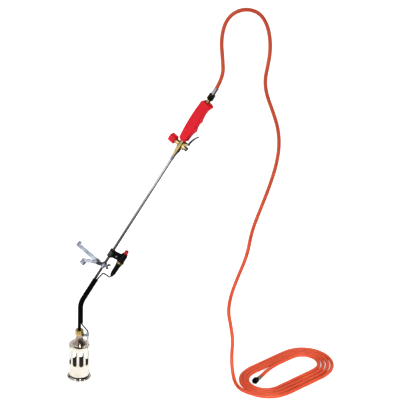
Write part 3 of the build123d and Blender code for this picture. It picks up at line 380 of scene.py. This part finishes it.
def tubeAlong(name, route, thickness):
    # one smooth NURBS line through the route, read as a path and then skinned
    data = bpy.data.curves.new(name + "Line", "CURVE")
    data.dimensions = "3D"
    spline = data.splines.new("NURBS")
    spline.points.add(len(route) - 1)
    for point, place in zip(spline.points, route):
        point.co = (*place, 1)
    spline.order_u = 3
    spline.use_endpoint_u = True
    data.resolution_u = hose["lineSteps"]
    line = bpy.data.objects.new(name + "Line", data)
    bpy.context.scene.collection.objects.link(line)
    path = [vertex.co.copy() for vertex in bpy.data.meshes.new_from_object(line).vertices]
    data.bevel_depth = thickness / 2
    data.bevel_resolution = hose["roundness"]
    data.use_fill_caps = True
    skin = bpy.data.meshes.new_from_object(line)
    bpy.data.objects.remove(line)
    tube = bpy.data.objects.new(name, skin)
    bpy.context.scene.collection.objects.link(tube)
    for face in skin.polygons:
        face.use_smooth = True
    return path, tube


def makeHose():
    leaves = onWand(hose["leavesAt"])
    turn, rise = math.radians(hoseEnd["turn"]), math.radians(hoseEnd["rise"])
    outward = Vector((math.cos(turn) * math.cos(rise), math.sin(turn) * math.cos(rise), math.sin(rise)))
    ends = onGround(*hoseEnd["at"]) + Vector((0, 0, hose["endReach"] * math.sin(rise)))
    first, last = hose["startAngle"], hose["startAngle"] + 360 * hose["turns"]
    steps = round(hose["turns"] * hose["pointsPerTurn"])
    route = [leaves - along * hose["inFerrule"], leaves + along * hose["straightOut"]]
    route += [Vector(p) for p in hoseUpAndDown]
    route += [onGround(*hoseLanding), coilPoint(first) - coilWay(first) * hose["reachIn"]]
    route += [coilPoint(first + (last - first) * i / steps) for i in range(steps + 1)]
    route += [coilPoint(last) + coilWay(last) * hose["reachOut"]]
    route += [onGround(*p) for p in hoseTailRoute]
    route += [ends - outward * hose["endReach"], ends + outward * hose["inFerrule"]]
    path, tube = tubeAlong("hose", route, hose["diameter"])
    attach(tube, "torch")
    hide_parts("hose_run", "hose_coil", "hose_tail")
    return tube


hoseTube = makeHose()
print("hose laid")

mergeWithin = 0.00001


def copyOf(node, name, body):
    # the CAD piece again as one joined mesh, to be worked on and to stand for it
    deselectAll()
    piece = nodes[node].copy()
    piece.data = nodes[node].data.copy()
    piece.name = name
    piece.parent = None
    bpy.context.scene.collection.objects.link(piece)
    bpy.context.view_layer.objects.active = piece
    piece.select_set(True)
    bpy.ops.object.mode_set(mode="EDIT")
    bpy.ops.mesh.select_all(action="SELECT")
    bpy.ops.mesh.remove_doubles(threshold=mergeWithin)
    bpy.ops.object.mode_set(mode="OBJECT")
    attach(piece, body)
    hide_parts(node)
    return piece


gripMould = {"grain": 0.0008, "rounding": 30, "softness": 0.5}


def makeGrip(node, name):
    # one half of the grip with the rounded edges of a moulding
    half = copyOf(node, name, "torch")
    remesh = half.modifiers.new("mould", "REMESH")
    remesh.mode = "VOXEL"
    remesh.voxel_size = gripMould["grain"]
    smooth = half.modifiers.new("rounding", "SMOOTH")
    smooth.iterations = gripMould["rounding"]
    smooth.factor = gripMould["softness"]
    for modifier in (remesh, smooth):
        bpy.ops.object.modifier_apply(modifier=modifier.name)
    bpy.ops.object.shade_smooth()
    return half


gripHalves = [makeGrip("grip_front", "gripFront"), makeGrip("grip_back", "gripBack")]
print("grip moulded:", [len(half.data.polygons) for half in gripHalves], "faces")


def makeSpring(node, name):
    # a copy of the spring with its own mesh, shaded smooth, on the torch
    spring = copyOf(node, name, "torch")
    bpy.ops.object.shade_smooth()
    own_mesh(spring)
    return spring


springs = [makeSpring("piezo_spring", "piezoSpring"),
           makeSpring("trigger_spring", "triggerSpring")]
print("springs made:", len(springs))

bellPlace = {"at": (bellAside, 0, 0)}
wandPlace = {"at": tuple(footOfWand), "turn": (0, lean, 0)}

# turned, drawn and plated metals: two colours that lie in patches, roughness from and to, tool lines to the
# metre along each axis of its place, and the pieces that wear it
metals = {
    "turnedBrass": {"bright": (0.78, 0.60, 0.27), "dark": (0.44, 0.33, 0.12), "rough": (0.12, 0.30),
                    "lines": (20, 20, 1500), "place": wandPlace,
                    "pieces": ["valve_body", "bonnet", "valve_needle", "valve_spindle", "wand_nut",
                               "inlet_nipple", "hose_tailpiece", "trigger_pin", "piezo_nut"]},
    "jetBrass": {"bright": (0.86, 0.62, 0.28), "dark": (0.55, 0.36, 0.13), "rough": (0.16, 0.36),
                 "lines": (20, 20, 1500), "place": bellPlace, "pieces": ["jet_holder", "gas_jet"]},
    "paleBrass": {"bright": (0.88, 0.80, 0.55), "dark": (0.70, 0.62, 0.42), "rough": (0.2, 0.4),
                  "pieces": ["end_ferrule"]},
    "plainSteel": {"bright": (0.66, 0.66, 0.67), "dark": (0.42, 0.42, 0.44), "rough": (0.22, 0.42),
                   "lines": (600, 600, 600),
                   "pieces": ["cap_rivets", "electrode_bracket", "spark_electrode", "clamp_screw",
                              "lever_pin", "grip_screws", "knob_screw", "piezo_terminal", "wand_collet",
                              "handle_tube"]},
    "standSteel": {"bright": (0.64, 0.69, 0.80), "dark": (0.30, 0.34, 0.43), "rough": (0.16, 0.36),
                   "lines": (60, 900, 60), "place": wandPlace, "spots": 70,
                   "pieces": ["stand_clamp", "stand_legs"]},
    "crimpSteel": {"bright": (0.66, 0.66, 0.72), "dark": (0.40, 0.40, 0.46), "rough": (0.16, 0.34),
                   "lines": (30, 30, 900), "place": wandPlace, "pieces": ["crimp_ferrule"]},
    "blackSteel": {"bright": (0.050, 0.060, 0.050), "dark": (0.012, 0.016, 0.012), "rough": (0.20, 0.40),
                   "lines": (40, 40, 900), "place": wandPlace,
                   "pieces": ["hose_nut", "end_nut", "end_tailpiece"]},
    "leverSteel": {"bright": (0.055, 0.055, 0.058), "dark": (0.015, 0.015, 0.016), "rough": (0.2, 0.4),
                   "lines": (300, 900, 300), "place": wandPlace, "pieces": ["trigger_lever"]},
    "pilotSteel": {"bright": (0.28, 0.30, 0.27), "dark": (0.12, 0.13, 0.12), "rough": (0.2, 0.4),
                   "lines": (300, 900, 300), "place": wandPlace, "pieces": ["pilot_screw"]},
    "darkSteel": {"bright": (0.30, 0.29, 0.28), "dark": (0.12, 0.12, 0.11), "rough": (0.18, 0.36),
                  "lines": (300, 300, 900), "place": wandPlace, "pieces": ["stand_pin", "wing_screw"]},
    "springSteel": {"bright": (0.55, 0.55, 0.58), "dark": (0.35, 0.35, 0.38), "rough": (0.2, 0.4),
                    "pieces": ["trigger_spring", "piezo_spring"]},
    "bandSteel": {"bright": (0.10, 0.10, 0.105), "dark": (0.04, 0.04, 0.045), "rough": (0.22, 0.38),
                  "lines": (30, 30, 1200), "place": wandPlace, "pieces": ["clamp_band"]},
}
metalDetail = {"spots": 40, "patches": (0.35, 0.62), "grainFiner": 9,
               "lineDepth": 0.00004, "lineStrength": 0.5}

# moulded plastics, rubbers and ceramic: two colours in slow flow marks, roughness from and to, the grain's
# fineness, and how much they shine
mouldings = {
    "redPlastic": {"colour": (0.98, 0.007, 0.026), "deep": (0.86, 0.004, 0.018), "rough": (0.22, 0.36),
                   "grain": 1400, "gloss": 0.20, "coat": 0.08, "place": wandPlace,
                   "pieces": ["control_knob", "grip_front", "grip_back"]},
    "redButton": {"colour": (0.52, 0.002, 0.014), "deep": (0.42, 0.001, 0.010), "rough": (0.25, 0.4),
                  "grain": 1400, "gloss": 0.35, "place": wandPlace, "pieces": ["piezo_button"]},
    "blackPlastic": {"colour": (0.005, 0.005, 0.0055), "deep": (0.002, 0.002, 0.0025), "rough": (0.22, 0.40),
                     "grain": 1200, "gloss": 0.16,
                     "pieces": ["igniter_clamp_front", "igniter_clamp_back", "piezo_body"]},
    "blackRubber": {"colour": (0.003, 0.003, 0.0035), "deep": (0.0015, 0.0015, 0.0015),
                    "rough": (0.40, 0.60), "grain": 900, "gloss": 0.08,
                    "pieces": ["ignition_wire", "igniter_boot", "stem_seal"]},
    "paleSilicone": {"colour": (0.42, 0.50, 0.54), "deep": (0.30, 0.37, 0.41), "rough": (0.25, 0.45),
                     "grain": 700, "gloss": 0.5, "pieces": ["electrode_boot"]},
    "whiteCeramic": {"colour": (0.80, 0.78, 0.72), "deep": (0.70, 0.67, 0.60), "rough": (0.45, 0.65),
                     "grain": 700, "gloss": 0.3, "pieces": ["electrode_insulator", "piezo_crystal"]},
}
mouldDetail = {"flow": 28, "flowMarks": (0.3, 0.7), "coatRough": 0.16,
               "grainDepth": 0.00005, "grainStrength": 0.5}


def metal(name, look):
    finish = Finish(name, metallic=1.0)
    spots = look.get("spots", metalDetail["spots"])
    darkAt, brightAt = metalDetail["patches"]
    spot = finish.place(**look.get("place", {}))
    patches = finish.noise(spot, spots, detail=4, roughness=0.6)
    finish.give("Base Color", finish.ramp(patches, (darkAt, look["dark"]), (brightAt, look["bright"])))
    grain = finish.noise(spot, spots * metalDetail["grainFiner"], roughness=0.6)
    finish.give("Roughness", finish.level(grain, *look["rough"]))
    if "lines" in look:
        fine = finish.noise(finish.scaled(spot, look["lines"]), 1.0, detail=2)
        finish.bump(fine, metalDetail["lineDepth"], metalDetail["lineStrength"])
    return finish


def moulded(name, look):
    finish = Finish(name, specular=look["gloss"], coat=look.get("coat", 0.0),
                    coatRoughness=mouldDetail["coatRough"])
    deepAt, colourAt = mouldDetail["flowMarks"]
    spot = finish.place(**look.get("place", {}))
    flow = finish.noise(spot, mouldDetail["flow"])
    finish.give("Base Color", finish.ramp(flow, (deepAt, look["deep"]), (colourAt, look["colour"])))
    fine = finish.noise(spot, look["grain"], detail=2, roughness=0.6)
    finish.give("Roughness", finish.level(fine, *look["rough"]))
    finish.bump(fine, mouldDetail["grainDepth"], mouldDetail["grainStrength"])
    return finish


# heights above the ground and distances from the bell's axis; each pair goes from where a colour is absent
# to where it is full
burner = {"clouds": 45,
          "straw": [(0.3, (0.93, 0.90, 0.84)), (0.55, (0.90, 0.84, 0.72)), (0.75, (0.80, 0.74, 0.66))],
          "rollingLines": (900, 900, 25), "rough": (0.10, 0.34), "lineDepth": 0.00003,
          "lineStrength": 0.5, "edgeWander": 0.0015,
          # the inside of the bell is coloured darker and made rougher
          "darkInside": (0.11, 0.094, 0.080), "insideWithin": 0.0295, "insideAbove": 0.009, "insideBelow": 0.112,
          "insideRough": 0.3,
          # the flare's colour is a painted dark reflection, a band round the flare
          "paintedFlareReflection": (0.045, 0.038, 0.034), "flareShare": 0.92,
          "flareFoot": (0.0070, 0.0084), "flareTop": (0.0134, 0.0124),
          # the cone's colour is a heat tint, darkened further as a painted dark reflection
          "cone": (0.34, 0.235, 0.19), "coneShare": 0.85,
          "coneWithin": (0.0215, 0.0190), "coneAbove": (0.116, 0.118)}


def burnerSteel():
    # spun stainless: rolling lines up the wall, straw tint from the flame, a painted dark reflection on the
    # flare, the cone heat-tinted and darkened by a painted reflection, the inside of the bell darker
    finish = Finish("burnerSteel", metallic=1.0)
    spot = finish.place(**bellPlace)
    rolled = finish.noise(finish.scaled(spot, burner["rollingLines"]), 1.0, roughness=0.6)
    tint = finish.ramp(finish.noise(spot, burner["clouds"]), *burner["straw"])
    outward = finish.add("ShaderNodeVectorMath", {"operation": "LENGTH"},
                         {0: finish.scaled(spot, (1, 1, 0))}).part("Value")
    height = finish.split(spot).part("Z") + gripAbove
    # darker inside the bell
    insideMask = (outward.below(burner["insideWithin"]) * height.above(burner["insideAbove"])
             * height.below(burner["insideBelow"]))
    ragged = height + (rolled - 0.5) * burner["edgeWander"]
    # painted dark reflection: a dark band round the flare
    paintedFlareReflection = finish.fade(ragged, *burner["flareFoot"]) * finish.fade(ragged, *burner["flareTop"])
    # heat tint and painted dark reflection on the cone above the cap
    cone = finish.fade(outward, *burner["coneWithin"]) * finish.fade(ragged, *burner["coneAbove"])
    tintAndPaintedReflection = finish.mix(cone * burner["coneShare"], tint, burner["cone"])
    tintAndPaintedReflection = finish.mix(paintedFlareReflection * burner["flareShare"], tintAndPaintedReflection, burner["paintedFlareReflection"])
    finish.give("Base Color", finish.mix(insideMask, tintAndPaintedReflection, burner["darkInside"]))
    finish.give("Roughness", finish.level(rolled, *burner["rough"]) + insideMask * burner["insideRough"])
    finish.bump(rolled, burner["lineDepth"], burner["lineStrength"])
    return finish


# the tint's stops are counted from the start station below, with the scale below to the metre; its dark stops
# are a painted dark reflection
wand = {"darkStart": 0.10, "darkScale": 2.0, "edgeWander": 0.02,
        "tint": [(0.0, (0.055, 0.040, 0.046)), (0.35, (0.20, 0.17, 0.17)),
                 (0.66, (0.55, 0.54, 0.54)), (0.70, (0.78, 0.78, 0.82))],
        "drawnLines": (700, 700, 12), "rough": (0.05, 0.18), "lineDepth": 0.00001, "lineStrength": 0.3}


def wandSteel():
    # lower length painted dark as a reflection of dark surroundings, upper length bright chrome
    finish = Finish("wandSteel", metallic=1.0)
    spot = finish.place(**wandPlace)
    station = finish.split(spot).part("Z")
    streak = finish.noise(finish.scaled(spot, wand["drawnLines"]), 1.0, roughness=0.6)
    edge = station + (streak - 0.5) * wand["edgeWander"]
    # painted dark reflection, darkest low on the wand
    paintedDark = (edge - wand["darkStart"]) * wand["darkScale"]
    finish.give("Base Color", finish.ramp(paintedDark, *wand["tint"]))
    finish.give("Roughness", finish.level(streak, *wand["rough"]))
    finish.bump(streak, wand["lineDepth"], wand["lineStrength"])
    return finish


sleeve = {"gloss": 0.04, "rough": (0.42, 0.62), "mottle": 300,
          "strands": 8, "braidPitch": 900, "braidShare": 0.5, "braidDepth": 0.00012, "braidStrength": 0.6,
          "black": [(0.3, (0.0008, 0.0008, 0.001)), (0.8, (0.0022, 0.0022, 0.0025))]}


def sleeveRubber():
    # coated glass-fibre sleeve: a fine braid under the coat
    finish = Finish("sleeveCoat", specular=sleeve["gloss"])
    spot = finish.place(**wandPlace)
    parts = finish.split(spot)
    around = finish.maths("ARCTAN2", parts.part("Y"), parts.part("X")) * sleeve["strands"]
    climb = parts.part("Z") * sleeve["braidPitch"]
    braid = (around + climb).sine() * (around - climb).sine()
    mottle = finish.noise(spot, sleeve["mottle"], roughness=0.6)
    finish.give("Base Color", finish.ramp(mottle, *sleeve["black"]))
    finish.give("Roughness", finish.level(mottle, *sleeve["rough"]))
    finish.bump(braid * sleeve["braidShare"] + mottle, sleeve["braidDepth"], sleeve["braidStrength"])
    return finish


hoseSkin = {"red": [(0.25, (0.62, 0.060, 0.018)), (0.75, (0.74, 0.098, 0.030))], "streaks": 14,
            "gloss": 0.3, "coat": 0.15, "coatRough": 0.2, "rough": (0.32, 0.50),
            "dust": 700, "dustDepth": 0.00006, "dustStrength": 0.5}


def hoseRubber():
    # extruded rubber: an even colour, faint streaks and dust
    finish = Finish("hoseRubber", specular=hoseSkin["gloss"], coat=hoseSkin["coat"],
                    coatRoughness=hoseSkin["coatRough"])
    spot = finish.place()
    flow = finish.noise(spot, hoseSkin["streaks"], detail=4, roughness=0.6)
    finish.give("Base Color", finish.ramp(flow, *hoseSkin["red"]))
    fine = finish.noise(spot, hoseSkin["dust"], roughness=0.6)
    finish.give("Roughness", finish.level(fine, *hoseSkin["rough"]))
    finish.bump(fine, hoseSkin["dustDepth"], hoseSkin["dustStrength"])
    return finish


def wear(finish, pieces):
    for piece in pieces:
        piece.data.materials.clear()
        piece.data.materials.append(finish.material)


finishes = {}
for make, looks in ((metal, metals), (moulded, mouldings)):
    for name, look in looks.items():
        finishes[name] = make(name, look)
        wear(finishes[name], [nodes[piece] for piece in look["pieces"]])
wear(burnerSteel(), [nodes["burner_bell"], nodes["bell_cap"]])
wear(wandSteel(), [nodes["wand_tube"]])
wear(sleeveRubber(), [nodes["heat_sleeve"]])
wear(finishes["redPlastic"], gripHalves)
wear(finishes["springSteel"], springs)
wear(hoseRubber(), [hoseTube])
print("finishes given")

bpy.context.view_layer.update()
